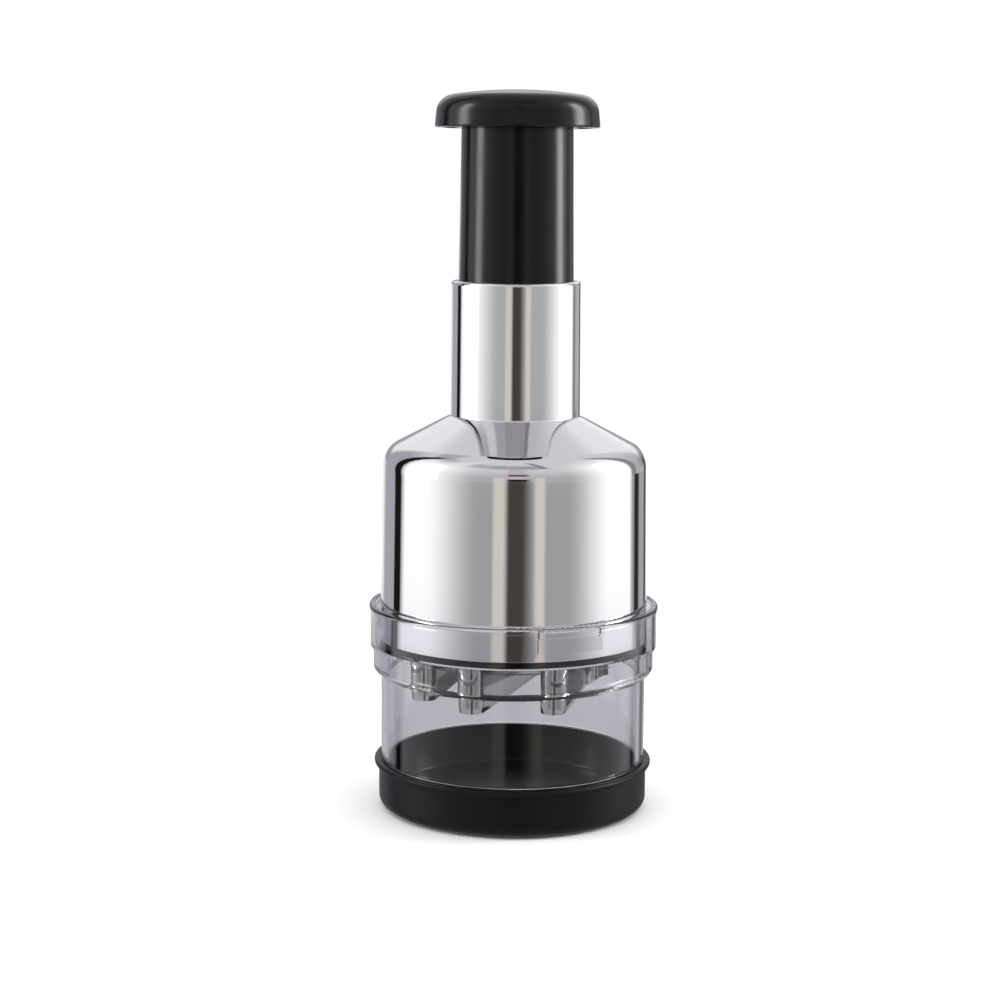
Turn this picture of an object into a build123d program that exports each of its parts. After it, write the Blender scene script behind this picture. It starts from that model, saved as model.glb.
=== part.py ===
"""Plunger food chopper: a push knob drives a zigzag blade down through a turning wiper plate.

Millimetres, +Z up, origin on the table under the middle of the base tray, front towards -Y.
"""
from math import asin, atan, degrees, sqrt
import os

from build123d import *

os.makedirs("parts", exist_ok=True)

# ---------------------------------------------------------------- driving dimensions
# gaps between pieces
seat_gap = 0.2          # between moving pieces that stand on each other
fit_gap = 0.3           # round a moving piece that slides or turns inside another
press_gap = 0.05        # round a piece that is pressed or laid into another of its own body
bearing_gap = 0.05      # round a shaft that runs in a bush

# small rounds and chamfers
edge_round = 0.3        # outside edges of moulded and plated pieces
root_round = 0.2        # inside corners that another piece's edge comes near
crease_round = 0.25     # crease where the cup's collar starts
rim_share = 0.45        # round on each side of a thin rim, as a share of its thickness

# base tray and its foot
foot_proud = 0.4
foot_radius = 36.0
foot_width = 3.0
foot_groove = 0.8
tray_floor = 2.2
tray_height = 14.8
tray_wall = 1.2
tray_corner = 3.0
lip_reach = 1.4
lip_thickness = 1.7

# clear cup
cup_radius = 40.0
cup_wall = 2.0
spigot_step = 0.8
spigot_round = 0.5
cup_height = 26.1       # from the shoulder on the tray's rim to the collar
collar_step = 2.4
collar_rise = 1.6
collar_round = 1.6
collar_height = 8.5
band_step = 0.9
band_height = 12.9
band_wall = 1.5
ledge_thickness = 0.8
bead_reach = 0.4
bead_height = 1.5
mouth_round = 0.9

# bayonet between cup and housing
lug_count = 3
lug_length = 20.0
lug_reach = 1.1
lug_height = 4.2
lug_rise = 2.7          # lug's underside above the skirt's lower edge
lug_angle = -66.0       # middle of the first lug, seen from above
rib_height = 1.6

# housing shell
skirt_length = 56.5     # skirt's lower edge to where cone and body lines meet
body_draft = 0.75
shoulder_round = 7.8
cone_height = 10.4
neck_height = 40.0
neck_draft = 0.25
neck_wall = 1.9
neck_round = 1.1
neck_crease = 0.6
shell_wall = 2.0
bore_step_drop = 25.0   # stop step in the neck, below the neck's mouth

# retaining ring and wiper plate
ring_flange = 1.8
ring_wall = 1.2
ring_rise = 2.1         # spigot above the wiper plate
ring_round = 0.4
plate_seat = 1.2
plate_thickness = 2.0
plate_lap = 1.4
plate_chamfer = 0.3
snap_lap = 0.4
snap_height = 0.8
slot_gap = 0.45

# zigzag blade
blade_thickness = 0.6
fold_radius = 3.5       # of the strip's middle line
fold_offset = 28.0      # fold's middle from the axis
fold_angles = (-160.2, -115.1, -65.3)   # front folds; each back fold lies opposite one of them
fold_wrap = 20.0        # how far the strip's end goes round past the outermost point
end_cut_slope = 0.7     # the strip's last end is cut at a slant: rise for each millimetre
blade_clearance = 1.9   # left over the tray's floor at full stroke
bevel_height = 1.6
bevel_edge = 0.15

# stroke
press_travel = 30.0
lead_length = 300.0     # stroke for one full turn of the blade

# blade carrier
carrier_radius = 33.5
carrier_thickness = 3.5
carrier_slot = 2.5
carrier_gap = 0.9       # over the wiper plate at full stroke
hub_radius = 8.5
hub_height = 7.0
hub_chamfer = 0.4
rib_count = 6
rib_width = 2.0
rib_rise = 2.5

# drive shaft and its pin, bush, washer and screw
shaft_side = 8.0
shaft_round = 0.6
shank_floor = 0.2
pin_radius = 1.25
pin_inset = 0.5
bush_wall = 1.3
bush_collar = 1.2
washer_radius = 7.0
washer_thickness = 1.2
screw_radius = 1.9
screw_length = 9.0
screw_head_radius = 3.6
screw_head = 2.4
screw_head_round = 0.8
recess_width = 0.9
recess_depth = 1.2

# drive nut
nut_radius = 8.2
nut_flange_radius = 10.6
nut_flange = 2.2
nut_height = 5.0        # above the sleeve's floor
nut_clearance = 0.2     # between the square bar and the nut
dog_count = 6
dog_width = 2.2
dog_depth = 1.2

# guide sleeve, its screws and bosses
sleeve_wall = 2.0
sleeve_floor = 3.0
sleeve_gap = 1.0        # over the carrier's hub at rest
sleeve_flange = 3.0
boss_offset = 25.0      # boss's middle from the axis
boss_radius = 3.2
boss_drop = 5.5
boss_count = 3
fixing_radius = 1.4
fixing_length = 9.5
fixing_head_radius = 2.8
fixing_head = 2.0
fixing_head_round = 0.7

# spring, spring seat and stop ring
spring_radius = 12.0
wire_radius = 0.7
spring_turns = 12
seat_thickness = 1.0
seat_rim = 1.6
seat_bore = 9.2
nut_lift = 1.2          # room for the nut to rise out of its dogs
stop_thickness = 1.6

# plunger tube
tube_radius = 17.1
tube_taper = 0.65
tube_wall = 1.9
tube_flange_reach = 0.65
tube_flange = 2.5
web_thickness = 3.0
web_rise = 10.7         # web's underside above the neck's mouth
plunger_show = 44.7     # tube seen between the neck's mouth and the knob's rim

# knob cap
cap_radius = 24.35
cap_height = 11.0
cap_draft = 0.8
cap_crown = 2.2
cap_corner = 5.5
cap_wall = 2.2
cap_rim_round = 0.5
socket_wall = 1.6
hollow_share = 0.8      # round of the cap's hollow, as a share of the hollow's width

# ---------------------------------------------------------------- heights, from the table up
floor_top = foot_proud + tray_floor
cup_bottom = floor_top + seat_gap
cup_shoulder = tray_height + seat_gap
collar_z = cup_shoulder + cup_height
band_z = collar_z + collar_height
band_top = band_z + band_height
ledge_z = band_z + ledge_thickness
ring_bottom = ledge_z + seat_gap
skirt_bottom = ring_bottom + ring_flange
cone_foot = skirt_bottom + skirt_length
neck_z = cone_foot + cone_height
neck_top = neck_z + neck_height
bore_step_z = neck_top - bore_step_drop
plate_bottom = ring_bottom + plate_seat + seat_gap
plate_top = plate_bottom + plate_thickness
carrier_bottom = plate_top + carrier_gap + press_travel
carrier_top = carrier_bottom + carrier_thickness
hub_top = carrier_top + hub_height
sleeve_bottom = hub_top + sleeve_gap
sleeve_floor_top = sleeve_bottom + sleeve_floor
tube_bottom = sleeve_floor_top + stop_thickness + seat_gap + press_travel
web_bottom = neck_top + web_rise
web_top = web_bottom + web_thickness
cap_rim = neck_top + plunger_show
cap_top = cap_rim + cap_height
blade_bottom = floor_top + blade_clearance + press_travel
blade_top = carrier_bottom + carrier_slot
rib_bottom = skirt_bottom + lug_rise + lug_height + fit_gap
shaft_bottom = carrier_top + shank_floor
pin_z = (shaft_bottom + hub_top) / 2
bar_top = web_bottom - bush_collar - seat_gap
journal_top = web_top + seat_gap
seat_top = sleeve_floor_top + nut_flange + nut_lift + seat_thickness
tube_top = cap_top - cap_crown - cap_wall

# ---------------------------------------------------------------- radii, from the cup's wall
cup_bore = cup_radius - cup_wall
spigot_radius = cup_radius - spigot_step
tray_bore = spigot_radius + fit_gap
tray_radius = tray_bore + tray_wall
lip_radius = tray_radius + lip_reach
collar_radius = cup_radius + collar_step
band_radius = collar_radius + band_step
band_bore = band_radius - band_wall
skirt_radius = band_bore - fit_gap - lug_reach
skirt_bore = skirt_radius - shell_wall
body_top_radius = skirt_radius - body_draft
ring_spigot_radius = skirt_bore - press_gap
groove_bore = ring_spigot_radius - ring_wall
plate_radius = groove_bore - fit_gap
tube_bore = tube_radius - tube_wall
flange_radius = tube_radius + tube_flange_reach
guide_bore = tube_radius + fit_gap
sleeve_bore = flange_radius + fit_gap
sleeve_radius = sleeve_bore + sleeve_wall
neck_radius = guide_bore + neck_wall
neck_foot_radius = neck_radius + neck_draft
tube_top_radius = tube_radius - tube_taper
ring_radius = skirt_radius - press_gap
journal_radius = shaft_side / 2
bush_radius = journal_radius + bearing_gap + bush_wall
seat_radius = nut_flange_radius + fit_gap + seat_rim
socket_radius = tube_top_radius + press_gap + socket_wall
crown_edge = cap_top - cap_crown
crown_radius = ((cap_radius - cap_draft) ** 2 + cap_crown**2) / (2 * cap_crown)


# ---------------------------------------------------------------- helpers
cone_slope = cone_height / (body_top_radius - neck_foot_radius)
cone_drop = shell_wall * sqrt(1 + cone_slope**2)


def cone_outside(radius):
    """Height of the cone's outer face at a radius."""
    return neck_z - (radius - neck_foot_radius) * cone_slope


def cone_inside(radius):
    """Height of the cone's inner face at a radius."""
    return cone_outside(radius) - cone_drop


boss_bottom = cone_inside(boss_offset) - boss_drop
sleeve_flange_z = boss_bottom - sleeve_flange
sleeve_top = cone_inside(sleeve_radius) - seat_gap


def twist_at(height):
    """Angle of the square bar's section at a height, in degrees."""
    return -360.0 * (height - sleeve_bottom) / lead_length


def twisted_bar(section, bottom, top):
    """Square section drawn up and turned, so that pushing the bar turns it in its nut."""
    turn = twist_at(top) - twist_at(bottom)
    middle = (0, 0, bottom)
    return Solid.extrude_linear_with_rotation(section, middle, (0, 0, top - bottom), turn)


def fold_centre(angle):
    """Middle of one fold of the blade strip."""
    return Vector(fold_offset, 0, 0).rotate(Axis.Z, angle)


def fold_edge(centre, turn):
    """Point on a fold's middle line, turned round from the fold's outermost point."""
    return centre + centre.normalized().rotate(Axis.Z, turn) * fold_radius


def draw_zigzag():
    """Middle line of the folded strip: each leg touches one fold circle and then the next."""
    centres = []
    for front, back in zip(fold_angles, reversed(fold_angles)):
        centres.append(fold_centre(front))
        centres.append(fold_centre(back + 180))
    arrive = fold_edge(centres[0], -fold_wrap)
    side = -1
    for centre, following in zip(centres, centres[1:]):
        run = following - centre
        lean = degrees(asin(2 * fold_radius / run.length))
        along = run.normalized().rotate(Axis.Z, -side * lean)
        across = along.rotate(Axis.Z, side * 90) * fold_radius
        ThreePointArc(arrive, fold_edge(centre, 0), centre + across)
        arrive = following - across
        Line(centre + across, arrive)
        side = -side
    ThreePointArc(arrive, fold_edge(centres[-1], 0), fold_edge(centres[-1], -fold_wrap))


# ---------------------------------------------------------------- base tray
# A shallow dish that closes the cup from below, with a flared lip to pull it off by.
with BuildPart() as base_tray:
    with BuildSketch(Plane.XZ):
        with BuildLine():
            FilletPolyline(
                (0, foot_proud),
                (tray_radius, foot_proud),
                (tray_radius, tray_height - lip_thickness),
                (lip_radius, tray_height - lip_thickness),
                (lip_radius, tray_height),
                (tray_bore, tray_height),
                (tray_bore, floor_top),
                (0, floor_top),
                radius=(0, tray_corner, lip_reach / 3, lip_thickness * rim_share,
                        lip_thickness * rim_share, root_round, root_round, 0),
                close=True,
            )
        make_face()
    revolve(axis=Axis.Z)
    with BuildSketch(Plane.XY.offset(foot_proud)):
        Circle(foot_radius + press_gap)
        Circle(foot_radius - foot_width - press_gap, mode=Mode.SUBTRACT)
    extrude(amount=foot_groove, mode=Mode.SUBTRACT)
base_tray.part.label = "base_tray"
export_step(base_tray.part, "parts/base_tray.step")

# ---------------------------------------------------------------- foot ring
# Soft ring laid into the tray's underside, which keeps it from sliding on the table.
with BuildPart() as foot_ring:
    with BuildSketch():
        Circle(foot_radius)
        Circle(foot_radius - foot_width, mode=Mode.SUBTRACT)
    extrude(amount=foot_proud + foot_groove)
    fillet(foot_ring.faces().sort_by(Axis.Z)[0].edges(), foot_proud / 2)
foot_ring.part.label = "foot_ring"
export_step(foot_ring.part, "parts/foot_ring.step")

# ---------------------------------------------------------------- clear cup
# One clear moulding: a spigot that stands in the tray, the chopping wall, a thick collar whose
# top carries the housing on a ledge, and a band that holds the bayonet ribs.
with BuildPart() as clear_cup:
    with BuildSketch(Plane.XZ):
        with BuildLine():
            FilletPolyline(
                (cup_bore, cup_bottom),
                (spigot_radius, cup_bottom),
                (spigot_radius, cup_shoulder),
                (cup_radius, cup_shoulder),
                (cup_radius, collar_z),
                (collar_radius, collar_z + collar_rise),
                (collar_radius, band_z),
                (band_radius, band_z),
                (band_radius, band_top - bead_height),
                (band_radius + bead_reach, band_top - bead_height),
                (band_radius + bead_reach, band_top),
                (band_bore, band_top),
                (band_bore, ledge_z),
                (cup_bore, ledge_z),
                radius=(spigot_round, edge_round, root_round, edge_round, crease_round,
                        collar_round, edge_round, edge_round, bead_reach / 3, bead_reach / 2,
                        mouth_round, root_round, root_round, edge_round),
                close=True,
            )
        make_face()
    revolve(axis=Axis.Z)
    with BuildSketch(Plane.XY.offset(rib_bottom)):
        with PolarLocations(band_bore, lug_count, start_angle=lug_angle):
            Rectangle(band_bore, lug_length)
        Circle(band_bore + band_wall / 2, mode=Mode.INTERSECT)
        Circle(skirt_radius + fit_gap, mode=Mode.SUBTRACT)
    extrude(amount=rib_height)
clear_cup.part.label = "clear_cup"
export_step(clear_cup.part, "parts/clear_cup.step")

# ---------------------------------------------------------------- housing shell
# Plated shell: skirt and body in one slightly drawn-in wall, a rounded shoulder, a cone and a
# neck. The neck's bore guides the plunger tube and steps outwards to stop the tube's flange.
# Three bosses hang under the cone for the guide sleeve's screws.
shoulder_inside_z = cone_inside(body_top_radius - shell_wall)
boss_inner = boss_offset - boss_radius
boss_outer = boss_offset + boss_radius
boss_root = cone_drop / 2
with BuildPart() as housing_shell:
    with BuildSketch(Plane.XY.offset(boss_bottom)):
        with PolarLocations(boss_offset, boss_count):
            Circle(boss_radius)
    extrude(amount=cone_inside(boss_inner) + boss_root - boss_bottom)
    with BuildSketch(Plane.XZ):
        with BuildLine():
            Polyline(
                (boss_inner, cone_inside(boss_inner) + boss_root),
                (boss_outer, cone_inside(boss_outer) + boss_root),
                (boss_outer, cone_inside(boss_inner) + boss_root),
                close=True,
            )
        make_face()
    revolve(axis=Axis.Z, mode=Mode.SUBTRACT)
    with BuildSketch(Plane.XZ):
        with BuildLine():
            FilletPolyline(
                (skirt_bore, skirt_bottom),
                (skirt_radius, skirt_bottom),
                (body_top_radius, cone_foot),
                (neck_foot_radius, neck_z),
                (neck_radius, neck_top),
                (guide_bore, neck_top),
                (guide_bore, bore_step_z),
                (sleeve_bore, bore_step_z),
                (sleeve_bore, cone_inside(sleeve_bore)),
                (body_top_radius - shell_wall, shoulder_inside_z),
                radius=(0, edge_round, shoulder_round, neck_crease, neck_round, edge_round, 0, 0, 0,
                        shoulder_round - shell_wall),
                close=True,
            )
        make_face()
    revolve(axis=Axis.Z)
    with BuildSketch(Plane.XY.offset(skirt_bottom + lug_rise)):
        with PolarLocations(skirt_radius, lug_count, start_angle=lug_angle):
            Rectangle(skirt_radius, lug_length)
        Circle(skirt_radius + lug_reach, mode=Mode.INTERSECT)
        Circle(skirt_radius - shell_wall / 2, mode=Mode.SUBTRACT)
    extrude(amount=lug_height)
    with BuildSketch(Plane.XY.offset(boss_bottom)):
        with PolarLocations(boss_offset, boss_count):
            Circle(fixing_radius + press_gap)
    extrude(amount=fixing_length - sleeve_flange + seat_gap, mode=Mode.SUBTRACT)
housing_shell.part.label = "housing_shell"
export_step(housing_shell.part, "parts/housing_shell.step")

# ---------------------------------------------------------------- retaining ring
# Black ring pressed into the skirt from below. Its lip carries the wiper plate, and a bead
# above the plate lets it snap in and turn.
with BuildPart() as retaining_ring:
    with BuildSketch(Plane.XZ):
        with BuildLine():
            Polyline(
                (plate_radius - plate_lap, ring_bottom),
                (ring_radius, ring_bottom),
                (ring_radius, skirt_bottom),
                (ring_spigot_radius, skirt_bottom),
                (ring_spigot_radius, plate_top + ring_rise),
                (groove_bore, plate_top + ring_rise),
                (groove_bore, plate_top + seat_gap + snap_height),
                (plate_radius - snap_lap, plate_top + seat_gap + snap_height / 2),
                (groove_bore, plate_top + seat_gap),
                (groove_bore, ring_bottom + plate_seat),
                (plate_radius - plate_lap, ring_bottom + plate_seat),
                close=True,
            )
        make_face()
        fillet(vertices().group_by(Axis.Y)[0].sort_by(Axis.X)[-1], ring_round)
    revolve(axis=Axis.Z)
retaining_ring.part.label = "retaining_ring"
export_step(retaining_ring.part, "parts/retaining_ring.step")

# ---------------------------------------------------------------- wiper plate
# Turns with the blade, which passes through its zigzag slot and is wiped clean on the way up.
with BuildPart() as wiper_plate:
    with BuildSketch(Plane.XY.offset(plate_bottom)):
        Circle(plate_radius)
    extrude(amount=plate_thickness)
    chamfer(wiper_plate.edges(), plate_chamfer)
    with BuildSketch(Plane.XY.offset(plate_bottom)):
        with BuildLine():
            draw_zigzag()
            offset(amount=blade_thickness / 2 + slot_gap, side=Side.BOTH)
        make_face()
    extrude(amount=plate_thickness, mode=Mode.SUBTRACT)
wiper_plate.part.label = "wiper_plate"
export_step(wiper_plate.part, "parts/wiper_plate.step")

# ---------------------------------------------------------------- zigzag blade
# Stainless strip folded into a zigzag, ground to an edge from both sides along the bottom. Its
# last end is cut at a slant that starts at the middle of the last fold's near half.
bevel_top = blade_bottom + bevel_height
last_fold = fold_centre(fold_angles[0] + 180)
end_cut_start = last_fold.X - fold_radius / 2
end_cut_stop = last_fold.X + 2 * fold_radius
with BuildPart() as zigzag_blade:
    with BuildSketch(Plane.XY.offset(bevel_top)):
        with BuildLine():
            draw_zigzag()
        trace(line_width=blade_thickness)
    extrude(amount=blade_top - bevel_top)
    extrude(
        zigzag_blade.faces().sort_by(Axis.Z)[0],
        amount=bevel_height,
        taper=degrees(atan((blade_thickness - bevel_edge) / 2 / bevel_height)),
    )
    with BuildSketch(Plane.XZ):
        with BuildLine():
            Polyline(
                (end_cut_start, blade_bottom),
                (end_cut_stop, blade_bottom),
                (end_cut_stop, blade_bottom + end_cut_slope * (end_cut_stop - end_cut_start)),
                close=True,
            )
        make_face()
    extrude(amount=-(last_fold.Y + 2 * fold_radius), mode=Mode.SUBTRACT)
zigzag_blade.part.label = "zigzag_blade"
export_step(zigzag_blade.part, "parts/zigzag_blade.step")

# ---------------------------------------------------------------- blade carrier
# Disc that grips the strip's top edge in a slot, with a ribbed hub for the drive shaft.
with BuildPart() as blade_carrier:
    with BuildSketch(Plane.XY.offset(carrier_bottom)):
        Circle(carrier_radius)
    extrude(amount=carrier_thickness)
    with BuildSketch(Plane.XY.offset(carrier_top)):
        with PolarLocations(carrier_radius / 2, rib_count):
            Rectangle(carrier_radius - rib_width, rib_width)
    extrude(amount=rib_rise)
    with BuildSketch(Plane.XY.offset(carrier_top)):
        Circle(hub_radius)
    extrude(amount=hub_height)
    chamfer(blade_carrier.edges().group_by(Axis.Z)[-1], hub_chamfer)
    with BuildSketch(Plane.XY.offset(shaft_bottom)):
        Circle(journal_radius + press_gap)
    extrude(amount=hub_top - shaft_bottom, mode=Mode.SUBTRACT)
    with BuildSketch(Plane.XY.offset(carrier_bottom)):
        with BuildLine():
            draw_zigzag()
            offset(amount=blade_thickness / 2 + slot_gap, side=Side.BOTH)
        make_face()
    extrude(amount=carrier_slot, mode=Mode.SUBTRACT)
    with BuildSketch(Plane.XZ.offset(-hub_radius)):
        with Locations((0, pin_z)):
            Circle(pin_radius + press_gap)
    extrude(amount=2 * hub_radius, mode=Mode.SUBTRACT)
blade_carrier.part.label = "blade_carrier"
export_step(blade_carrier.part, "parts/blade_carrier.step")

# ---------------------------------------------------------------- shaft pin
# Cross pin that locks the shaft's shank in the carrier's hub.
with BuildPart() as shaft_pin:
    with BuildSketch(Plane.XZ.offset(pin_inset - hub_radius)):
        with Locations((0, pin_z)):
            Circle(pin_radius)
    extrude(amount=2 * (hub_radius - pin_inset))
shaft_pin.part.label = "shaft_pin"
export_step(shaft_pin.part, "parts/shaft_pin.step")

# ---------------------------------------------------------------- drive shaft
# A twisted square bar with a round shank in the carrier's hub, and a round journal that runs
# in the bush at the top.
with BuildSketch(Plane.XY.offset(hub_top)) as bar_section:
    RectangleRounded(shaft_side, shaft_side, shaft_round, rotation=twist_at(hub_top))
with BuildPart() as drive_shaft:
    with BuildSketch(Plane.XY.offset(shaft_bottom)):
        Circle(journal_radius)
    extrude(amount=hub_top - shaft_bottom)
    add(twisted_bar(bar_section.sketch.face(), hub_top, bar_top))
    with BuildSketch(Plane.XY.offset(bar_top)):
        Circle(journal_radius)
    extrude(amount=journal_top - bar_top)
    with BuildSketch(Plane.XY.offset(journal_top - screw_length - seat_gap)):
        Circle(screw_radius + press_gap)
    extrude(amount=screw_length + seat_gap, mode=Mode.SUBTRACT)
    with BuildSketch(Plane.XZ.offset(-shaft_side)):
        with Locations((0, pin_z)):
            Circle(pin_radius + press_gap)
    extrude(amount=2 * shaft_side, mode=Mode.SUBTRACT)
drive_shaft.part.label = "drive_shaft"
export_step(drive_shaft.part, "parts/drive_shaft.step")

# ---------------------------------------------------------------- shaft bush
# Flanged bush pressed into the tube's web from below.
with BuildPart() as shaft_bush:
    with BuildSketch(Plane.XY.offset(web_bottom - bush_collar)):
        Circle(bush_radius + bush_wall)
    extrude(amount=bush_collar)
    with BuildSketch(Plane.XY.offset(web_bottom)):
        Circle(bush_radius)
    extrude(amount=web_thickness)
    with BuildSketch(Plane.XY.offset(web_bottom - bush_collar)):
        Circle(journal_radius + bearing_gap)
    extrude(amount=bush_collar + web_thickness, mode=Mode.SUBTRACT)
shaft_bush.part.label = "shaft_bush"
export_step(shaft_bush.part, "parts/shaft_bush.step")

# ---------------------------------------------------------------- shaft washer
# Stands on the journal's end, just clear of the web, and hangs the shaft in the plunger.
with BuildPart() as shaft_washer:
    with BuildSketch(Plane.XY.offset(journal_top)):
        Circle(washer_radius)
        Circle(screw_radius + press_gap, mode=Mode.SUBTRACT)
    extrude(amount=washer_thickness)
shaft_washer.part.label = "shaft_washer"
export_step(shaft_washer.part, "parts/shaft_washer.step")

# ---------------------------------------------------------------- shaft screw
# Holds the washer on the journal, with a cross recess in its domed head.
with BuildPart() as shaft_screw:
    with BuildSketch(Plane.XY.offset(journal_top - screw_length)):
        Circle(screw_radius)
    extrude(amount=screw_length + washer_thickness)
    with BuildSketch(Plane.XY.offset(journal_top + washer_thickness)):
        Circle(screw_head_radius)
    extrude(amount=screw_head)
    fillet(shaft_screw.edges().group_by(Axis.Z)[-1], screw_head_round)
    with BuildSketch(Plane.XY.offset(journal_top + washer_thickness + screw_head - recess_depth)):
        Rectangle(screw_head_radius, recess_width)
        Rectangle(recess_width, screw_head_radius)
    extrude(amount=recess_depth, mode=Mode.SUBTRACT)
shaft_screw.part.label = "shaft_screw"
export_step(shaft_screw.part, "parts/shaft_screw.step")

# ---------------------------------------------------------------- guide sleeve
# Cup screwed up under the cone. Its bore carries on the neck's bore for the tube's flange, and
# its floor holds the drive nut by dogs that let the nut slip only when it lifts.
with BuildPart() as guide_sleeve:
    with BuildSketch(Plane.XZ):
        with BuildLine():
            Polyline(
                (0, sleeve_bottom),
                (sleeve_radius, sleeve_bottom),
                (sleeve_radius, sleeve_flange_z),
                (boss_offset + boss_radius, sleeve_flange_z),
                (boss_offset + boss_radius, boss_bottom),
                (sleeve_radius, boss_bottom),
                (sleeve_radius, sleeve_top),
                (sleeve_bore, sleeve_top),
                (sleeve_bore, sleeve_floor_top),
                (0, sleeve_floor_top),
                close=True,
            )
        make_face()
    revolve(axis=Axis.Z)
    with BuildSketch(Plane.XY.offset(sleeve_bottom)):
        Circle(nut_radius + seat_gap)
    extrude(amount=sleeve_floor, mode=Mode.SUBTRACT)
    with BuildSketch(Plane.XY.offset(sleeve_floor_top - dog_depth - seat_gap)):
        with PolarLocations(nut_radius, dog_count):
            Rectangle(2 * (nut_flange_radius - nut_radius + seat_gap), dog_width + 2 * seat_gap)
    extrude(amount=dog_depth + seat_gap, mode=Mode.SUBTRACT)
    with BuildSketch(Plane.XY.offset(sleeve_flange_z)):
        with PolarLocations(boss_offset, boss_count):
            Circle(fixing_radius + seat_gap)
    extrude(amount=sleeve_flange, mode=Mode.SUBTRACT)
guide_sleeve.part.label = "guide_sleeve"
export_step(guide_sleeve.part, "parts/guide_sleeve.step")

# ---------------------------------------------------------------- sleeve screws
# Hold the guide sleeve's flange up against the bosses, heads down.
with BuildPart() as sleeve_screws:
    with BuildSketch(Plane.XY.offset(sleeve_flange_z)):
        with PolarLocations(boss_offset, boss_count):
            Circle(fixing_radius)
    extrude(amount=fixing_length)
    with BuildSketch(Plane.XY.offset(sleeve_flange_z - fixing_head)):
        with PolarLocations(boss_offset, boss_count):
            Circle(fixing_head_radius)
    extrude(amount=fixing_head)
    fillet(sleeve_screws.edges().group_by(Axis.Z)[0], fixing_head_round)
    with BuildSketch(Plane.XY.offset(sleeve_flange_z - fixing_head)):
        with PolarLocations(boss_offset, boss_count):
            Rectangle(fixing_head_radius, recess_width)
            Rectangle(recess_width, fixing_head_radius)
    extrude(amount=recess_depth, mode=Mode.SUBTRACT)
sleeve_screws.part.label = "sleeve_screws"
export_step(sleeve_screws.part, "parts/sleeve_screws.step")

# ---------------------------------------------------------------- drive nut
# Square twisted hole that turns the bar. It sits in the sleeve's floor on its dogs.
nut_side = shaft_side + 2 * nut_clearance
nut_bottom = sleeve_bottom
nut_top = sleeve_floor_top + nut_height
with BuildSketch(Plane.XY.offset(nut_bottom)) as nut_section:
    RectangleRounded(nut_side, nut_side, shaft_round, rotation=twist_at(nut_bottom))
with BuildPart() as drive_nut:
    with BuildSketch(Plane.XY.offset(nut_bottom)):
        Circle(nut_radius)
    extrude(amount=nut_top - nut_bottom)
    with BuildSketch(Plane.XY.offset(sleeve_floor_top)):
        Circle(nut_flange_radius)
    extrude(amount=nut_flange)
    with BuildSketch(Plane.XY.offset(sleeve_floor_top - dog_depth)):
        with PolarLocations(nut_radius, dog_count):
            Rectangle(2 * (nut_flange_radius - nut_radius), dog_width)
        Circle(nut_flange_radius, mode=Mode.INTERSECT)
    extrude(amount=dog_depth)
    add(twisted_bar(nut_section.sketch.face(), nut_bottom, nut_top), mode=Mode.SUBTRACT)
drive_nut.part.label = "drive_nut"
export_step(drive_nut.part, "parts/drive_nut.step")

# ---------------------------------------------------------------- spring seat
# Hat-shaped washer over the nut's flange: the spring stands on it, and it traps the nut.
with BuildPart() as spring_seat:
    with BuildSketch(Plane.XZ):
        with BuildLine():
            Polyline(
                (nut_flange_radius + fit_gap, sleeve_floor_top),
                (seat_radius, sleeve_floor_top),
                (seat_radius, seat_top),
                (seat_bore, seat_top),
                (seat_bore, seat_top - seat_thickness),
                (nut_flange_radius + fit_gap, seat_top - seat_thickness),
                close=True,
            )
        make_face()
    revolve(axis=Axis.Z)
spring_seat.part.label = "spring_seat"
export_step(spring_seat.part, "parts/spring_seat.step")

# ---------------------------------------------------------------- stop ring
# Rubber ring on the sleeve's floor that meets the tube at the end of the stroke.
with BuildPart() as stop_ring:
    with BuildSketch(Plane.XY.offset(sleeve_floor_top)):
        Circle(sleeve_bore - press_gap)
        Circle(seat_radius + press_gap, mode=Mode.SUBTRACT)
    extrude(amount=stop_thickness)
stop_ring.part.label = "stop_ring"
export_step(stop_ring.part, "parts/stop_ring.step")

# ---------------------------------------------------------------- return spring
# Round wire coil between the spring seat and the web inside the tube.
spring_height = web_bottom - seat_top - 2 * wire_radius
with BuildPart() as return_spring:
    with BuildLine(Plane.XY.offset(seat_top + wire_radius)):
        Helix(pitch=spring_height / spring_turns, height=spring_height, radius=spring_radius)
    with BuildSketch(Plane.XZ):
        with Locations((spring_radius, seat_top + wire_radius)):
            Circle(wire_radius)
    sweep(is_frenet=True)
return_spring.part.label = "return_spring"
export_step(return_spring.part, "parts/return_spring.step")

# ---------------------------------------------------------------- plunger tube
# Straight in the neck, then drawn in up to the knob. The flange at its foot meets the step in
# the neck, and the web inside takes the bush and the spring's top end.
with BuildPart() as plunger_tube:
    with BuildSketch(Plane.XZ):
        with BuildLine():
            Polyline(
                (tube_bore, tube_bottom),
                (flange_radius, tube_bottom),
                (flange_radius, tube_bottom + tube_flange),
                (tube_radius, tube_bottom + tube_flange),
                (tube_radius, neck_top),
                (tube_top_radius, cap_rim),
                (tube_top_radius, tube_top),
                (tube_top_radius - tube_wall, tube_top),
                (tube_top_radius - tube_wall, web_top),
                (bush_radius + press_gap, web_top),
                (bush_radius + press_gap, web_bottom),
                (tube_bore, web_bottom),
                close=True,
            )
        make_face()
    revolve(axis=Axis.Z)
plunger_tube.part.label = "plunger_tube"
export_step(plunger_tube.part, "parts/plunger_tube.step")

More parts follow.
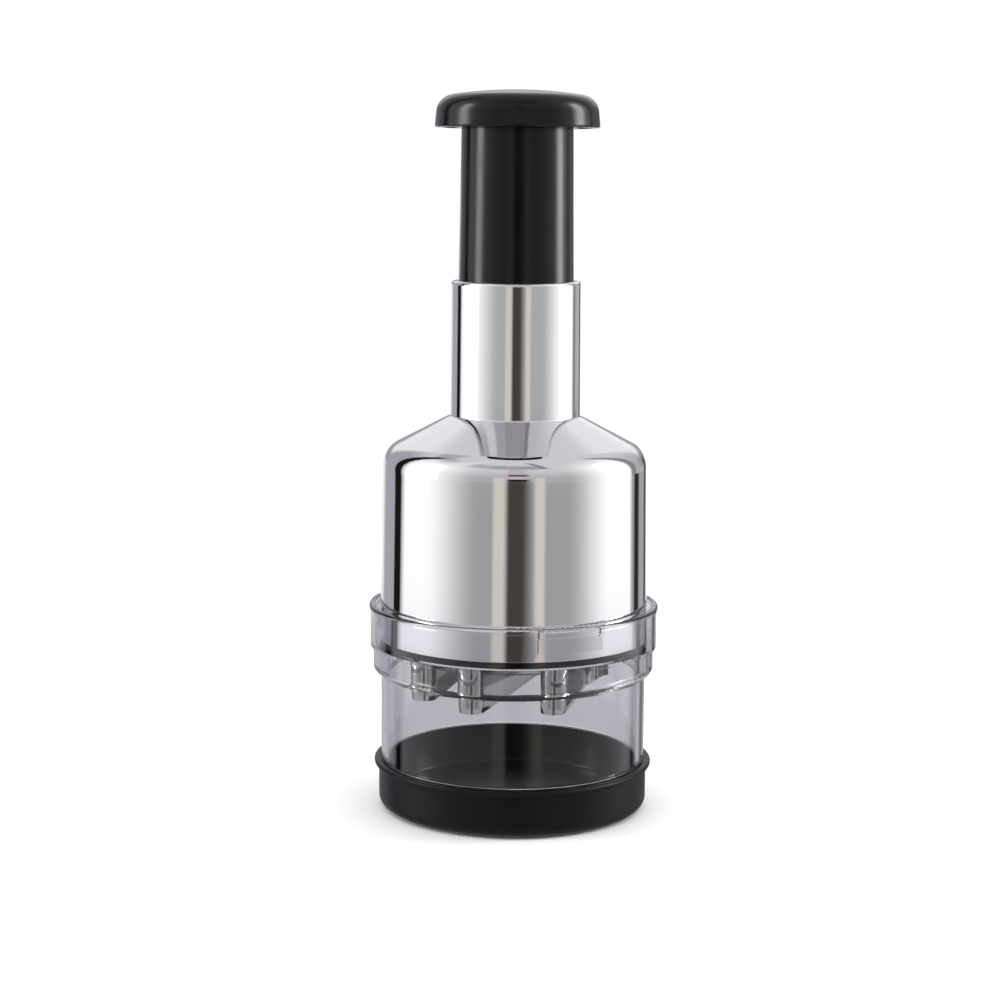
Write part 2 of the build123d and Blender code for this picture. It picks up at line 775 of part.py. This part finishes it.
# ---------------------------------------------------------------- knob cap
# Hollow dome pushed on to the tube's top by an inner socket.
hollow_width = cap_radius - cap_draft - cap_wall - socket_radius
with BuildPart() as knob_cap:
    with BuildSketch(Plane.XZ):
        with BuildLine():
            Line((0, cap_rim), (cap_radius, cap_rim))
            Line((cap_radius, cap_rim), (cap_radius - cap_draft, crown_edge))
            RadiusArc((cap_radius - cap_draft, crown_edge), (0, cap_top), -crown_radius)
            Line((0, cap_top), (0, cap_rim))
        make_face()
        fillet(vertices().filter_by_position(Axis.X, cap_radius / 2, cap_radius).sort_by(Axis.Y)[-1],
               cap_corner)
    revolve(axis=Axis.Z)
    with BuildSketch(Plane.XZ):
        with BuildLine():
            FilletPolyline(
                (socket_radius, cap_rim),
                (cap_radius - cap_wall, cap_rim),
                (socket_radius + hollow_width, tube_top),
                (socket_radius, tube_top),
                radius=(0, 0, hollow_share * hollow_width, 0),
                close=True,
            )
        make_face()
    revolve(axis=Axis.Z, mode=Mode.SUBTRACT)
    with BuildSketch(Plane.XY.offset(cap_rim)):
        Circle(tube_top_radius + press_gap)
    extrude(amount=tube_top - cap_rim, mode=Mode.SUBTRACT)
    fillet(knob_cap.edges().group_by(Axis.Z)[0].sort_by(SortBy.LENGTH)[-1], cap_rim_round)
knob_cap.part.label = "knob_cap"
export_step(knob_cap.part, "parts/knob_cap.step")
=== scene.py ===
# %% [markdown]
# # Plunger food chopper: finishing a CAD assembly in Blender
# The chopper is a press-down kitchen tool. A black knob pushes a twisted bar, which turns a
# zigzag blade down through a wiper plate into a clear cup. Every piece arrives from CAD at its
# real size, so this lesson is about what CAD leaves open: plating, plastics, steel, the coil
# spring and the light that shows them. Lengths are metres, and the sizes of surface detail are
# written in millimetres and turned to metres where they are used.

# %% Load the assembly
import math

import bmesh
import bpy
from mathutils import Matrix, Vector


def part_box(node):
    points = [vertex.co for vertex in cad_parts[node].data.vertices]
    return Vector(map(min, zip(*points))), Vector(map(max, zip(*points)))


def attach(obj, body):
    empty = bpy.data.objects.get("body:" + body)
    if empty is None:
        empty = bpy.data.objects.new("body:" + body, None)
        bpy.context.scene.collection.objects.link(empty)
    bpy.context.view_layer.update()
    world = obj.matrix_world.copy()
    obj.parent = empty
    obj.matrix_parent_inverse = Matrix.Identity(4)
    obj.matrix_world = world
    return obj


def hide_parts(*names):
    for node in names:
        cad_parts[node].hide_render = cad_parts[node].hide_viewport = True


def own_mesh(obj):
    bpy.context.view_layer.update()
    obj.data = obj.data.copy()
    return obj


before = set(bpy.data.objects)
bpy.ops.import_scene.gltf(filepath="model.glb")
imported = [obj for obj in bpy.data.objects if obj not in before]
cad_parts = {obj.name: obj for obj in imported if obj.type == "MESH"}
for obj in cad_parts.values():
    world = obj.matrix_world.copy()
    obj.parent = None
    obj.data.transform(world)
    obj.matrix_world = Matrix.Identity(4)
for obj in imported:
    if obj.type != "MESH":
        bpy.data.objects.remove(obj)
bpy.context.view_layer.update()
MM = 0.001

# %% [markdown]
# ## The camera
# A product camera on a tripod looks slightly down at the chopper, so that the rims show as flat
# ovals. A focal length of 79 mm from two thirds of a metre keeps the sides almost upright. The
# three angles turn the camera in the order pan, tilt, roll.

# %% Camera
CAMERA_PLACE = Vector((0, -0.65454, 0.19013))
LENS_MM = 79.14
PAN, TILT_DOWN, ROLL = math.radians(0.38), math.radians(8.4), math.radians(0.434)

camera = bpy.data.objects.new("camera", bpy.data.cameras.new("camera"))
bpy.context.scene.collection.objects.link(camera)
camera.data.lens = LENS_MM
camera.data.clip_start = 0.05
camera.matrix_world = (
    Matrix.Translation(CAMERA_PLACE)
    @ Matrix.Rotation(PAN, 4, "Z")
    @ Matrix.Rotation(math.pi / 2 - TILT_DOWN, 4, "X")
    @ Matrix.Rotation(ROLL, 4, "Z")
)
bpy.context.scene.camera = camera
print("camera stands", round(CAMERA_PLACE.length, 3), "m from the middle of the base")

# %% [markdown]
# ## Two helpers for shaders
# Colours are picked as the hex values that a paint chart or a web page gives, and those are
# sRGB. Shaders want linear light, so one function converts them. A second one adds a node,
# sets its properties and fills or links its inputs, which keeps each material short.

# %% Helpers for shaders
SRGB_KNEE, SRGB_SLOPE, SRGB_OFFSET, SRGB_POWER = 0.04045, 12.92, 0.055, 2.4


def linear(hex_colour):
    """Linear RGBA of an sRGB colour such as #1A2B3C."""
    channels = [int(hex_colour[i:i + 2], 16) / 255 for i in (1, 3, 5)]
    return tuple(
        c / SRGB_SLOPE if c <= SRGB_KNEE else ((c + SRGB_OFFSET) / (1 + SRGB_OFFSET)) ** SRGB_POWER
        for c in channels
    ) + (1.0,)


# A colour Mix node keeps its sockets after those of its number and vector forms.
FACTOR, COLOUR_A, COLOUR_B, COLOUR_OUT = 0, 6, 7, 2


def add(tree, kind, inputs=None, **settings):
    """Adds a shader node. An input is a value, or another node's output to link."""
    made = tree.nodes.new("ShaderNode" + kind)
    for name, value in settings.items():
        setattr(made, name, value)
    for name, value in (inputs or {}).items():
        if isinstance(value, bpy.types.NodeSocket):
            tree.links.new(value, made.inputs[name])
        else:
            made.inputs[name].default_value = value
    return made


# %% [markdown]
# ## The studio
# Bright plating has no colour of its own: it shows the room. So the light here is a room seen
# in the metal, drawn in the world shader as cards that hang round the chopper. A card is set
# by its compass angles, with 0 towards the camera and plus to the right, and by its heights
# above the horizon. Each edge has a width over which it fades, because a soft box glows most
# in its middle. A later card covers the ones before it. Cards at infinity cost no noise, and
# they never stand in the way of another view.

# %% Directions in the room
world = bpy.data.worlds.new("studio")
bpy.context.scene.world = world
world.use_nodes = True
world.node_tree.nodes.clear()
tree = world.node_tree

HALF_TURN = 180
direction = add(tree, "SeparateXYZ", {0: add(tree, "TexCoord").outputs["Generated"]})
ahead = add(tree, "Math", {0: direction.outputs["Y"], 1: -1.0}, operation="MULTIPLY")
compass = add(tree, "Math", {0: direction.outputs["X"], 1: ahead.outputs[0]},
              operation="ARCTAN2")
compass = add(tree, "Math", {0: compass.outputs[0]}, operation="DEGREES")
height = add(tree, "Math", {0: direction.outputs["Z"]}, operation="ARCSINE")
height = add(tree, "Math", {0: height.outputs[0]}, operation="DEGREES")


def between(angle, low, high, low_fade, high_fade):
    """1 where an angle lies between two limits, with a soft edge at each."""
    start = add(tree, "MapRange", {"Value": angle, "From Min": low - low_fade / 2,
                                   "From Max": low + low_fade / 2},
                interpolation_type="SMOOTHSTEP")
    end = add(tree, "MapRange", {"Value": angle, "From Min": high + high_fade / 2,
                                 "From Max": high - high_fade / 2},
              interpolation_type="SMOOTHSTEP")
    both = add(tree, "Math", {0: start.outputs[0], 1: end.outputs[0]}, operation="MULTIPLY")
    return both.outputs[0]


def hang(behind, name, brightness, tint, sides, side_fades, heights, height_fades):
    """Hangs a glowing or dark card in front of the surroundings that are behind it."""
    middle = sum(sides) / 2
    off = add(tree, "Math", {0: compass.outputs[0], 1: middle}, operation="SUBTRACT")
    off = add(tree, "Math", {0: off.outputs[0], 1: -HALF_TURN, 2: HALF_TURN}, operation="WRAP")
    across = between(off.outputs[0], sides[0] - middle, sides[1] - middle, *side_fades)
    upright = between(height.outputs[0], *heights, *height_fades)
    mask = add(tree, "Math", {0: across, 1: upright}, operation="MULTIPLY")
    shade = tuple(brightness * c for c in linear(tint)[:3]) + (1.0,)
    card = add(tree, "Mix", {FACTOR: mask.outputs[0], COLOUR_A: behind, COLOUR_B: shade},
               data_type="RGBA", name=name, label=name)
    return card.outputs[COLOUR_OUT]


# %% [markdown]
# The big soft boxes stand left and right, each with a hot strip where its lamp is. Black flags
# close them off towards the back, and give the metal its dark lines near the outline. Towards
# the camera is a narrow dark gap between two warm strips, with a window above it. Overhead is a
# large pale ceiling with a beam, a lamp, a dull corner and a dark ring, which show in the hollow
# where the cone meets the neck. Below is a pale table, and behind is a backdrop that ends in a
# thin darker edge and a greyer part of the table.

# %% Studio light
ROOM_GREY = 0.43
ALL_ROUND, NO_FADE = (-190, 190), (1, 1)
# name, brightness, colour, compass angles, their fades, heights, their fades
CARDS = (
    ("upper_room", 0.52, "#FFFFFF", ALL_ROUND, NO_FADE, (-6, 100), (3, 1)),
    ("ceiling", 0.78, "#FDFDFF", ALL_ROUND, NO_FADE, (26, 100), (44, 1)),
    ("table", 0.80, "#FDFDFF", ALL_ROUND, NO_FADE, (-95, -17), (1, 6)),
    ("ceiling_beam", 0.56, "#FAFAFF", (-58, 30), (6, 6), (50, 65), (6, 6)),
    ("ceiling_beam_middle", 0.47, "#FAFAFF", (-29, 28), (4, 6), (50, 65), (6, 6)),
    ("ceiling_lamp", 0.86, "#FFFFFF", (-84, -60), (10, 8), (50, 80), (6, 8)),
    ("ceiling_corner", 0.52, "#FAFAFF", (-152, -88), (8, 8), (50, 62), (4, 6)),
    ("ceiling_ring", 0.32, "#FFFFFF", (29, 40), (6, 6), (50, 80), (6, 8)),
    ("backdrop", 1.0, "#FDFDFF", (152, 208), (10, 12), (-60, 44), (1, 12)),
    ("backdrop_glow", 1.16, "#FFFFFF", (166, 184), (8, 8), (-60, 60), (1, 30)),
    ("backdrop_edge", 0.42, "#F6F6FA", (140, 220), (10, 10), (0, 11), (2, 6)),
    ("table_behind", 0.60, "#F6F5FA", (110, 250), (10, 10), (-95, -11), (1, 2)),
    ("left_soft_box", 1.31, "#FFFFFF", (-111, -56), (8, 56), (-13, 48), (8, 36)),
    ("left_lamp", 8.6, "#FFFFFF", (-89, -74), (10, 12), (-4, 36), (5, 16)),
    ("right_soft_box", 1.33, "#FFFFFF", (68, 120), (48, 6), (-13, 48), (8, 36)),
    ("right_lamp", 10.5, "#FFFFFF", (89, 106), (12, 10), (-4, 36), (5, 16)),
    ("left_strip", 0.77, "#FFF8EC", (-18, -8), (4, 4), (-40, 14), (10, 12)),
    ("right_strip", 0.80, "#FFF4E8", (17, 26), (6, 4), (-40, 14), (10, 12)),
    ("camera_gap", 0.075, "#FFE8D8", (-6, 12.5), (4, 14), (-40, 2), (10, 2)),
    ("camera_hood", 0.015, "#FFFFFF", (-6, 12), (4, 8), (2, 8), (2, 2)),
    ("window_low", 0.7, "#FFE9EE", (-6, 12), (4, 8), (8, 20), (2, 2)),
    ("window_bar", 0.12, "#FFE8E8", (-6, 12), (4, 8), (20, 28), (2, 2)),
    ("window_high", 0.66, "#FFEDF0", (-6, 12), (4, 8), (28, 48), (2, 8)),
    ("left_flag", 0.01, "#FFFFFF", (-126, -114.5), (3, 2), (-60, 56), (1, 10)),
    ("left_shade", 0.50, "#F4F2FF", (-150, -126), (8, 3), (-60, 40), (1, 20)),
    ("right_shade", 0.30, "#FFFFFF", (121, 130), (4, 4), (-6, 56), (1, 10)),
    ("right_flag", 0.03, "#FFF8EC", (126, 136), (4, 5), (-60, -6), (1, 1)),
    ("far_right_flag", 0.10, "#FFFFFF", (150, 160), (4, 4), (-60, 5), (1, 6)),
)
room = add(tree, "RGB")
room.outputs[0].default_value = (ROOM_GREY, ROOM_GREY, ROOM_GREY, 1)
surroundings = room.outputs[0]
for card in CARDS:
    surroundings = hang(surroundings, *card)

BACKGROUND = (1.0, 1.0, 1.0, 1)
seen = add(tree, "LightPath").outputs["Is Camera Ray"]
sky = add(tree, "Mix", {FACTOR: seen, COLOUR_A: surroundings, COLOUR_B: BACKGROUND},
          data_type="RGBA")
light = add(tree, "Background", {"Color": sky.outputs[COLOUR_OUT]})
add(tree, "OutputWorld", {"Surface": light.outputs[0]})
bpy.context.scene.view_settings.view_transform = "Standard"
print("studio cards:", len(CARDS))

# %% [markdown]
# Paper under a room like this comes out grey, so one large overhead softbox lifts it to white.
# It lights matt surfaces only, because the ceiling card already shows in the metal.

# %% Overhead softbox
OVERHEAD_SIZE, OVERHEAD_HEIGHT, OVERHEAD_WATTS = 2.0, 1.5, 18
overhead = bpy.data.objects.new("overhead", bpy.data.lights.new("overhead", "AREA"))
bpy.context.scene.collection.objects.link(overhead)
overhead.location.z = OVERHEAD_HEIGHT
overhead.data.size = OVERHEAD_SIZE
overhead.data.energy = OVERHEAD_WATTS
overhead.visible_camera = overhead.visible_glossy = overhead.visible_transmission = False
print("overhead softbox:", OVERHEAD_WATTS, "W")

# %% [markdown]
# ## Starting a finish
# Every finish begins in the same way: a new material, an empty shader tree, and the Object
# coordinates of the piece it lies on. These are in metres and stay with the piece when it
# moves, so a pattern keeps its real size and doesn't slide. Generated coordinates would stretch
# with each piece's box, so they aren't used here.

# %% Start a finish
def new_finish(name):
    """A new material, its empty shader tree, and the coordinates of the piece it lies on."""
    material = bpy.data.materials.new(name)
    material.use_nodes = True
    material.node_tree.nodes.clear()
    spot = add(material.node_tree, "TexCoord").outputs["Object"]
    return material, material.node_tree, spot


# %% [markdown]
# ## The floor
# A sheet of white paper on a table. It is left out of reflections and of what shows through
# clear plastic, because there the cards and the table of the studio stand in for it, as they
# do round a small product table. Paper is matt, with short fibres that vary its tone a little.

# %% Floor
FLOOR_HALF = 6.0
floor_mesh = bpy.data.meshes.new("floor")
sheet = bmesh.new()
bmesh.ops.create_grid(sheet, x_segments=1, y_segments=1, size=FLOOR_HALF)
sheet.to_mesh(floor_mesh)
sheet.free()
floor = bpy.data.objects.new("floor", floor_mesh)
bpy.context.scene.collection.objects.link(floor)
floor.visible_glossy = False
floor.visible_transmission = False

paper, tree, place = new_finish("matt_white_paper")
FIBRE_MM = 0.6
fibres = add(tree, "TexNoise", {"Vector": place, "Scale": 1 / (FIBRE_MM * MM), "Detail": 3.0})
tone = add(tree, "Mix", {FACTOR: fibres.outputs["Fac"], COLOUR_A: linear("#F8F8F9"),
                         COLOUR_B: linear("#FBFBFB")}, data_type="RGBA")
surface = add(tree, "BsdfPrincipled", {"Base Color": tone.outputs[COLOUR_OUT], "Roughness": 0.9})
add(tree, "OutputMaterial", {"Surface": surface.outputs[0]})
floor.data.materials.append(paper)
print("paper sheet, side in m:", 2 * FLOOR_HALF)


# %% [markdown]
# ## Dressing a CAD piece
# A CAD piece keeps its mesh. Its material goes in the object's own slot, so one function links
# the finish there for each named piece.

# %% Dress a CAD piece
def dress(material, *names):
    """Puts a finish on CAD pieces, in the object's slot and not in the mesh."""
    for name in names:
        for place_of_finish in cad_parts[name].material_slots:
            place_of_finish.link = "OBJECT"
            place_of_finish.material = material
    print(material.name, "on", ", ".join(names))


# %% [markdown]
# ## Chrome plating on moulded ABS
# The housing is a plastic moulding with copper, nickel and a thin skin of bright chromium. It
# mirrors the room almost perfectly, but the plastic below is never as flat as ground metal, so
# stripes waver very slightly. That waver is a low bump a few centimetres long, and a faint haze
# of handling varies the roughness.

# %% Chrome plating
WAVER_MM, HAZE_MM = 14.0, 9.0
HAZE_LOW, HAZE_HIGH = 0.35, 0.75
chrome, tree, place = new_finish("bright_chrome_plated_abs")
waver = add(tree, "TexNoise", {"Vector": place, "Scale": 1 / (WAVER_MM * MM), "Detail": 1.0})
haze = add(tree, "TexNoise", {"Vector": place, "Scale": 1 / (HAZE_MM * MM), "Detail": 4.0})
gloss = add(tree, "MapRange", {"Value": haze.outputs["Fac"], "From Min": HAZE_LOW,
                               "From Max": HAZE_HIGH, "To Min": 0.035, "To Max": 0.07})
swell = add(tree, "Bump", {"Height": waver.outputs["Fac"], "Strength": 0.25,
                           "Distance": 0.02 * MM})
surface = add(tree, "BsdfPrincipled", {
    "Base Color": linear("#E1E1E3"), "Metallic": 1.0, "Roughness": gloss.outputs[0],
    "Normal": swell.outputs[0],
})
add(tree, "OutputMaterial", {"Surface": surface.outputs[0]})
dress(chrome, "housing_shell")

# %% [markdown]
# ## Gloss black ABS
# The plunger, the knob and the ring come from polished moulds. The plastic is almost black and
# its shine is a clear reflection with soft edges. Moulded gloss has a fine orange peel, and
# rubbing by hands dulls it in patches.

# %% Gloss black ABS
PEEL_MM, RUB_MM = 1.6, 11.0
NOISE_LOW, NOISE_HIGH = 0.3, 0.7  # most of a noise texture's values lie between these
gloss_abs, tree, place = new_finish("moulded_gloss_black_abs")
peel = add(tree, "TexNoise", {"Vector": place, "Scale": 1 / (PEEL_MM * MM), "Detail": 2.0})
rub = add(tree, "TexNoise", {"Vector": place, "Scale": 1 / (RUB_MM * MM), "Detail": 5.0})
tone = add(tree, "Mix", {FACTOR: rub.outputs["Fac"], COLOUR_A: linear("#06060A"),
                         COLOUR_B: linear("#0A0A0F")}, data_type="RGBA")
gloss = add(tree, "MapRange", {"Value": rub.outputs["Fac"], "From Min": NOISE_LOW,
                               "From Max": NOISE_HIGH, "To Min": 0.13, "To Max": 0.22})
skin = add(tree, "Bump", {"Height": peel.outputs["Fac"], "Strength": 0.12,
                          "Distance": 0.01 * MM})
surface = add(tree, "BsdfPrincipled", {
    "Base Color": tone.outputs[COLOUR_OUT], "Roughness": gloss.outputs[0], "IOR": 1.5,
    "Specular IOR Level": 0.28, "Normal": skin.outputs[0],
})
add(tree, "OutputMaterial", {"Surface": surface.outputs[0]})
dress(gloss_abs, "plunger_tube", "knob_cap", "retaining_ring", "wiper_plate")

# %% [markdown]
# ## Satin black ABS
# The base tray and the inner mouldings are the same plastic from a mould with a fine spark
# texture, which spreads the reflection, so they read as a soft dark grey sheen.

# %% Satin black ABS
SPARK_MM = 0.35
satin_abs, tree, place = new_finish("spark_textured_black_abs")
spark = add(tree, "TexNoise", {"Vector": place, "Scale": 1 / (SPARK_MM * MM), "Detail": 3.0})
rub = add(tree, "TexNoise", {"Vector": place, "Scale": 1 / (RUB_MM * MM), "Detail": 4.0})
tone = add(tree, "Mix", {FACTOR: rub.outputs["Fac"], COLOUR_A: linear("#08080B"),
                         COLOUR_B: linear("#0D0D11")}, data_type="RGBA")
gloss = add(tree, "MapRange", {"Value": rub.outputs["Fac"], "From Min": NOISE_LOW,
                               "From Max": NOISE_HIGH, "To Min": 0.34, "To Max": 0.42})
skin = add(tree, "Bump", {"Height": spark.outputs["Fac"], "Strength": 0.15,
                          "Distance": 0.01 * MM})
surface = add(tree, "BsdfPrincipled", {
    "Base Color": tone.outputs[COLOUR_OUT], "Roughness": gloss.outputs[0], "IOR": 1.5,
    "Specular IOR Level": 0.15, "Normal": skin.outputs[0],
})
add(tree, "OutputMaterial", {"Surface": surface.outputs[0]})
dress(satin_abs, "base_tray", "blade_carrier", "guide_sleeve")

# %% [markdown]
# ## Clear SAN
# The cup is styrene acrylonitrile, the usual clear plastic of kitchen cups. It bends light a
# little more than window glass and has a faint cool smoke tint that builds up along the wall.
# The tint is a volume, so that thick and slanted walls are darker, as in the real moulding.

# %% Clear SAN
clear_san, tree, place = new_finish("clear_moulded_san")
flow = add(tree, "TexNoise", {"Vector": place, "Scale": 1 / (WAVER_MM * MM), "Detail": 1.0})
swell = add(tree, "Bump", {"Height": flow.outputs["Fac"], "Strength": 0.2,
                           "Distance": 0.02 * MM})
surface = add(tree, "BsdfPrincipled", {
    "Base Color": linear("#F9F9FC"), "Roughness": 0.02, "IOR": 1.57,
    "Transmission Weight": 1.0, "Specular Tint": linear("#BCBCBC"),
    "Normal": swell.outputs[0],
})
SMOKE = linear("#D9D8E0")
SMOKE_DENSITY = 42.0
smoke = add(tree, "VolumeAbsorption", {"Color": SMOKE, "Density": SMOKE_DENSITY})
add(tree, "OutputMaterial", {"Surface": surface.outputs[0], "Volume": smoke.outputs[0]})
dress(clear_san, "clear_cup")

# %% [markdown]
# ## Rolled stainless blade
# The strip is cold-rolled stainless with long fine rolling lines. Both sides of the lower edge
# are ground, and the grinding lines run across, up and down the bevel. The two are told apart
# by height above the cutting edge.

# %% Blade steel
ROLL_LINE_MM, GRIND_LINE_MM = 0.25, 0.18
BEVEL_MM, BEVEL_BLEND_MM = 1.6, 0.05
LINE_STRETCH = 40
blade_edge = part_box("zigzag_blade")[0].z
blade_steel, tree, place = new_finish("rolled_stainless_ground_edge")
along = add(tree, "Mapping", {"Vector": place, "Scale": (1, 1, LINE_STRETCH)})
across = add(tree, "Mapping", {"Vector": place, "Scale": (LINE_STRETCH, LINE_STRETCH, 1)})
rolling = add(tree, "TexNoise", {"Vector": along.outputs[0], "Detail": 3.0,
                                 "Scale": 1 / (ROLL_LINE_MM * LINE_STRETCH * MM)})
grinding = add(tree, "TexNoise", {"Vector": across.outputs[0], "Detail": 3.0,
                                  "Scale": 1 / (GRIND_LINE_MM * LINE_STRETCH * MM)})
level = add(tree, "SeparateXYZ", {0: place}).outputs["Z"]
bevel_top = blade_edge + BEVEL_MM * MM
bevel = add(tree, "MapRange", {"Value": level, "From Min": bevel_top + BEVEL_BLEND_MM * MM,
                               "From Max": bevel_top - BEVEL_BLEND_MM * MM})
lines = add(tree, "Mix", {"Factor": bevel.outputs[0], "A": rolling.outputs["Fac"],
                          "B": grinding.outputs["Fac"]}, data_type="FLOAT")
gloss = add(tree, "MapRange", {"Value": lines.outputs["Result"], "From Min": NOISE_LOW,
                               "From Max": NOISE_HIGH, "To Min": 0.04, "To Max": 0.12})
scratches = add(tree, "Bump", {"Height": lines.outputs["Result"], "Strength": 0.25,
                               "Distance": 0.01 * MM})
surface = add(tree, "BsdfPrincipled", {
    "Base Color": linear("#B4B3B2"), "Metallic": 1.0, "Roughness": gloss.outputs[0],
    "Normal": scratches.outputs[0],
})
add(tree, "OutputMaterial", {"Surface": surface.outputs[0]})
dress(blade_steel, "zigzag_blade")

# %% [markdown]
# ## Drawn bar and zinc plate
# The twisted bar and its pin are drawn stainless, with fine lines along their length. Screws,
# washer and spring seat have bright zinc over steel, with small crystals that mottle the shine.

# %% Drawn bar and zinc plate
DRAW_LINE_MM, CRYSTAL_MM = 0.2, 0.8


def plain_metal(name, hex_colour, low, high, size_mm, stretch):
    """A metal whose roughness runs between low and high in lines or grains of a size."""
    metal, shader, spot = new_finish(name)
    drawn = add(shader, "Mapping", {"Vector": spot, "Scale": (stretch, stretch, 1)})
    grain = add(shader, "TexNoise", {"Vector": drawn.outputs[0], "Detail": 3.0,
                                     "Scale": 1 / (size_mm * stretch * MM)})
    shine = add(shader, "MapRange", {"Value": grain.outputs["Fac"], "From Min": NOISE_LOW,
                                     "From Max": NOISE_HIGH, "To Min": low, "To Max": high})
    relief = add(shader, "Bump", {"Height": grain.outputs["Fac"], "Strength": 0.2,
                                  "Distance": 0.01 * MM})
    finish = add(shader, "BsdfPrincipled", {
        "Base Color": linear(hex_colour), "Metallic": 1.0, "Roughness": shine.outputs[0],
        "Normal": relief.outputs[0],
    })
    add(shader, "OutputMaterial", {"Surface": finish.outputs[0]})
    return metal


drawn_bar = plain_metal("drawn_stainless_bar", "#BDBCBB", 0.2, 0.35, DRAW_LINE_MM, LINE_STRETCH)
zinc = plain_metal("bright_zinc_plated_steel", "#C6C8CC", 0.25, 0.45, CRYSTAL_MM, 1)
dress(drawn_bar, "drive_shaft", "shaft_pin")
dress(zinc, "shaft_washer", "shaft_screw", "sleeve_screws", "spring_seat")

# %% [markdown]
# ## White acetal
# The drive nut and the bush are acetal, a waxy slippery plastic that runs on steel without oil.
# It lets light a little way in, so it gets a weak subsurface glow and a low shine.

# %% White acetal
WAX_MM = 2.5
acetal, tree, place = new_finish("moulded_white_acetal")
wax = add(tree, "TexNoise", {"Vector": place, "Scale": 1 / (WAX_MM * MM), "Detail": 2.0})
tone = add(tree, "Mix", {FACTOR: wax.outputs["Fac"], COLOUR_A: linear("#E3E0D8"),
                         COLOUR_B: linear("#EEECE6")}, data_type="RGBA")
surface = add(tree, "BsdfPrincipled", {
    "Base Color": tone.outputs[COLOUR_OUT], "Roughness": 0.42, "IOR": 1.48,
    "Subsurface Weight": 0.15, "Subsurface Scale": 0.6 * MM,
})
add(tree, "OutputMaterial", {"Surface": surface.outputs[0]})
dress(acetal, "drive_nut", "shaft_bush")

# %% [markdown]
# ## Soft black rubber
# The foot ring and the stop ring are soft rubber with a matt skin that holds dust. The dust
# lightens the black in specks and roughens it, so both come from one fine noise.

# %% Soft black rubber
DUST_MM = 0.5
rubber, tree, place = new_finish("moulded_soft_black_rubber")
dust = add(tree, "TexNoise", {"Vector": place, "Scale": 1 / (DUST_MM * MM), "Detail": 4.0})
tone = add(tree, "Mix", {FACTOR: dust.outputs["Fac"], COLOUR_A: linear("#151515"),
                         COLOUR_B: linear("#242424")}, data_type="RGBA")
grit = add(tree, "Bump", {"Height": dust.outputs["Fac"], "Strength": 0.3,
                          "Distance": 0.02 * MM})
surface = add(tree, "BsdfPrincipled", {
    "Base Color": tone.outputs[COLOUR_OUT], "Roughness": 0.8, "Normal": grit.outputs[0],
})
add(tree, "OutputMaterial", {"Surface": surface.outputs[0]})
dress(rubber, "foot_ring", "stop_ring")

# %% [markdown]
# ## The return spring
# A real compression spring has closed ends: its first and last turns lie flat on each other,
# and the ends are ground. CAD holds it as a plain helix. Here one wire circle is spun round the
# axis while it climbs, slowly through the closed turns and faster in between. A curve with a
# round bevel could make it too, but a spin gives clean rings of faces.

# %% Return spring
low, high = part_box("return_spring")
WIRE_RADIUS = 0.7 * MM
OPEN_TURNS, CLOSED_TURNS, STEPS_A_TURN, WIRE_SIDES = 10, 1, 64, 16
WELD_MM = 0.001
spring_radius = (high.x - low.x) / 2 - WIRE_RADIUS
closed_pitch = 2 * WIRE_RADIUS
free_height = high.z - low.z - 2 * WIRE_RADIUS
open_pitch = (free_height - 2 * CLOSED_TURNS * closed_pitch) / OPEN_TURNS
print("open pitch in mm:", round(open_pitch / MM, 2))

# %% [markdown]
# The wire starts as one round face, stood up at the spring's radius. Each stretch of turns is
# spun with its own pitch from where the last one ended. Then the doubles at the joins are merged
# and the normals are made to point outwards, because a spin can leave them turned in.

# %% Wind the wire
wire = bmesh.new()
bmesh.ops.create_circle(wire, segments=WIRE_SIDES, radius=WIRE_RADIUS, cap_ends=True)
upright = Matrix.Rotation(math.pi / 2, 4, "X")
start = Matrix.Translation((spring_radius, 0, low.z + WIRE_RADIUS))
bmesh.ops.transform(wire, matrix=start @ upright, verts=wire.verts)
front = wire.faces[:] + wire.edges[:] + wire.verts[:]
for turns, pitch in ((CLOSED_TURNS, closed_pitch), (OPEN_TURNS, open_pitch),
                     (CLOSED_TURNS, closed_pitch)):
    steps = turns * STEPS_A_TURN
    swept = bmesh.ops.spin(
        wire, geom=front, cent=(0, 0, 0), axis=(0, 0, 1), angle=turns * 2 * math.pi,
        dvec=(0, 0, pitch / STEPS_A_TURN), steps=steps,
    )
    front = swept["geom_last"]
bmesh.ops.remove_doubles(wire, verts=wire.verts, dist=WELD_MM * MM)
bmesh.ops.recalc_face_normals(wire, faces=wire.faces)
spring_mesh = bpy.data.meshes.new("coil_spring")
wire.to_mesh(spring_mesh)
wire.free()
spring_mesh.shade_smooth()
coil_spring = bpy.data.objects.new("coil_spring", spring_mesh)
bpy.context.scene.collection.objects.link(coil_spring)
spring_mesh.materials.append(zinc)
print("spring faces:", len(spring_mesh.polygons), "box:", coil_spring.dimensions[:])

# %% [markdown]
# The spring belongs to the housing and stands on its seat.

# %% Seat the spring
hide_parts("return_spring")
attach(coil_spring, "housing")
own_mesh(coil_spring)
